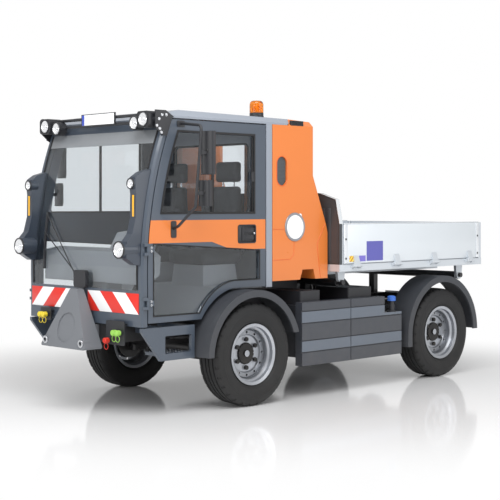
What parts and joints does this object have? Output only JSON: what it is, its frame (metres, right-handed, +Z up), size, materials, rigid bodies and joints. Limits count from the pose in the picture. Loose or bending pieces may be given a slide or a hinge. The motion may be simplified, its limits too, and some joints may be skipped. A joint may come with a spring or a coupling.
{
  "type": "compact utility truck",
  "caption": "Compact utility truck: glazed cab over steered front wheels, cover towers behind it, drop-side bed that tips rearwards on a telescoping cylinder.",
  "frame": {"origin": "on the ground, midway between the ends and between the sides of the whole truck", "axes": "+X forward, +Y to the truck's left, +Z up"},
  "size_m": [3.966, 1.8, 2.2339],
  "materials": {
    "tyre": "matt tread rubber",
    "wheel_silver": "satin silver",
    "cab_grey": "satin paint",
    "roof_grey": "satin paint",
    "orange": "gloss paint",
    "cover_grey": "satin",
    "fender_grey": "matt",
    "dark_plastic": "matt",
    "frame_black": "satin paint",
    "bed_silver": "satin paint",
    "glass": "clear",
    "coupling_grey": "satin paint",
    "steel": "polished",
    "amber": "clear lens",
    "seat_cloth": "woven",
    "interior_grey": "matt",
    "engine_iron": "rough"
  },
  "bodies": {
    "chassis": {"front_axle": "frame_black", "rear_axle": "frame_black", "chassis_frame": "frame_black", "engine_block": "engine_iron", "cab_front_frame": "cab_grey", "windscreen": "glass", "cab_floor": "interior_grey", "cab_rear_wall": "cab_grey", "rear_window": "glass", "cab_roof": "roof_grey", "lamp_pods": "dark_plastic", "roof_lamp_bar": "dark_plastic", "beacon": "amber", "wiper": "dark_plastic", "dashboard": "interior_grey", "steering_wheel": "dark_plastic", "seats": "seat_cloth", "cover_towers": "orange", "engine_housing": "dark_plastic", "front_fenders": "fender_grey", "rear_fenders": "fender_grey", "side_covers": "cover_grey", "side_lockers": "dark_plastic", "cab_steps": "cab_grey", "coupling_frame": "coupling_grey", "hydraulic_couplings": "dark_plastic", "pivot_frame": "frame_black"},
    "door_left": {"door_left": "cab_grey", "door_glass_left": "glass", "mirror_left": "dark_plastic"},
    "door_right": {"door_right": "cab_grey", "door_glass_right": "glass", "mirror_right": "dark_plastic"},
    "knuckle_left": {"knuckle_left": "frame_black"},
    "knuckle_right": {"knuckle_right": "frame_black"},
    "wheel_front_left": {"tyre_front_left": "tyre", "rim_front_left": "wheel_silver"},
    "wheel_front_right": {"tyre_front_right": "tyre", "rim_front_right": "wheel_silver"},
    "wheel_rear_left": {"tyre_rear_left": "tyre", "rim_rear_left": "wheel_silver"},
    "wheel_rear_right": {"tyre_rear_right": "tyre", "rim_rear_right": "wheel_silver"},
    "tie_rod": {"tie_rod": "frame_black"},
    "bed": {"bed_floor": "bed_silver", "bed_subframe": "bed_silver", "pivot_lugs": "bed_silver", "cylinder_ears": "bed_silver", "headboard": "bed_silver"},
    "side_board_left": {"side_board_left": "bed_silver"},
    "side_board_right": {"side_board_right": "bed_silver"},
    "tailgate": {"tailgate": "bed_silver"},
    "cylinder_barrel": {"cylinder_barrel": "frame_black"},
    "cylinder_stage_1": {"cylinder_stage_1": "steel"},
    "cylinder_stage_2": {"cylinder_stage_2": "steel"},
    "cylinder_stage_3": {"cylinder_stage_3": "steel"}
  },
  "joints": [
    {"name": "door_left_hinge", "type": "hinge", "parent": "chassis", "child": "door_left", "pos_m": [1.759, 0.668, 0.96], "axis": [0, 0, -1], "range_deg": [0, 75]},
    {"name": "door_right_hinge", "type": "hinge", "parent": "chassis", "child": "door_right", "pos_m": [1.759, -0.668, 0.96], "axis": [0, 0, 1], "range_deg": [0, 75]},
    {"name": "steer_left", "type": "hinge", "parent": "chassis", "child": "knuckle_left", "pos_m": [0.851, 0.59, 0.372], "axis": [0, 0, 1], "range_deg": [-30, 30]},
    {"name": "steer_right", "type": "hinge", "parent": "chassis", "child": "knuckle_right", "pos_m": [0.851, -0.59, 0.372], "axis": [0, 0, 1], "range_deg": [-31, 31]},
    {"name": "tie_rod_slide", "type": "slide", "parent": "chassis", "child": "tie_rod", "axis": [0, 1, 0], "range_m": [-0.06, 0.06]},
    {"name": "wheel_front_left_spin", "type": "hinge", "parent": "knuckle_left", "child": "wheel_front_left", "pos_m": [0.851, 0.667, 0.372], "axis": [0, 1, 0], "continuous": true},
    {"name": "wheel_front_right_spin", "type": "hinge", "parent": "knuckle_right", "child": "wheel_front_right", "pos_m": [0.851, -0.667, 0.372], "axis": [0, 1, 0], "continuous": true},
    {"name": "wheel_rear_left_spin", "type": "hinge", "parent": "chassis", "child": "wheel_rear_left", "pos_m": [-1.375, 0.667, 0.372], "axis": [0, 1, 0], "continuous": true},
    {"name": "wheel_rear_right_spin", "type": "hinge", "parent": "chassis", "child": "wheel_rear_right", "pos_m": [-1.375, -0.667, 0.372], "axis": [0, 1, 0], "continuous": true},
    {"name": "bed_tip", "type": "hinge", "parent": "chassis", "child": "bed", "pos_m": [-1.745, 0, 0.84], "axis": [0, -1, 0], "range_deg": [0, 45]},
    {"name": "side_board_left_hinge", "type": "hinge", "parent": "bed", "child": "side_board_left", "pos_m": [-1, 0.785, 0.975], "axis": [-1, 0, 0], "range_deg": [0, 180]},
    {"name": "side_board_right_hinge", "type": "hinge", "parent": "bed", "child": "side_board_right", "pos_m": [-1, -0.785, 0.975], "axis": [1, 0, 0], "range_deg": [0, 180]},
    {"name": "tailgate_hinge", "type": "hinge", "parent": "bed", "child": "tailgate", "pos_m": [-1.969, 0, 0.975], "axis": [0, -1, 0], "range_deg": [0, 90]},
    {"name": "cylinder_foot", "type": "hinge", "parent": "chassis", "child": "cylinder_barrel", "pos_m": [-0.749, 0, 0.508], "axis": [0, -1, 0], "range_deg": [0, 28]},
    {"name": "cylinder_slide_1", "type": "slide", "parent": "cylinder_barrel", "child": "cylinder_stage_1", "axis": [0.2403, 0, 0.9707], "range_m": [0, 0.265]},
    {"name": "cylinder_slide_2", "type": "slide", "parent": "cylinder_stage_1", "child": "cylinder_stage_2", "axis": [0.2403, 0, 0.9707], "range_m": [0, 0.265]},
    {"name": "cylinder_slide_3", "type": "slide", "parent": "cylinder_stage_2", "child": "cylinder_stage_3", "axis": [0.2403, 0, 0.9707], "range_m": [0, 0.265]}
  ],
  "couplings": [
    {"joint": "steer_right", "follows": "steer_left", "ratio": 1},
    {"joint": "tie_rod_slide", "follows": "steer_left", "m_per_rad": -0.105},
    {"joint": "cylinder_foot", "follows": "bed_tip", "ratio": 0.6137},
    {"joint": "cylinder_slide_1", "follows": "bed_tip", "m_per_rad": 0.33323},
    {"joint": "cylinder_slide_2", "follows": "bed_tip", "m_per_rad": 0.33323},
    {"joint": "cylinder_slide_3", "follows": "bed_tip", "m_per_rad": 0.33323}
  ]
}
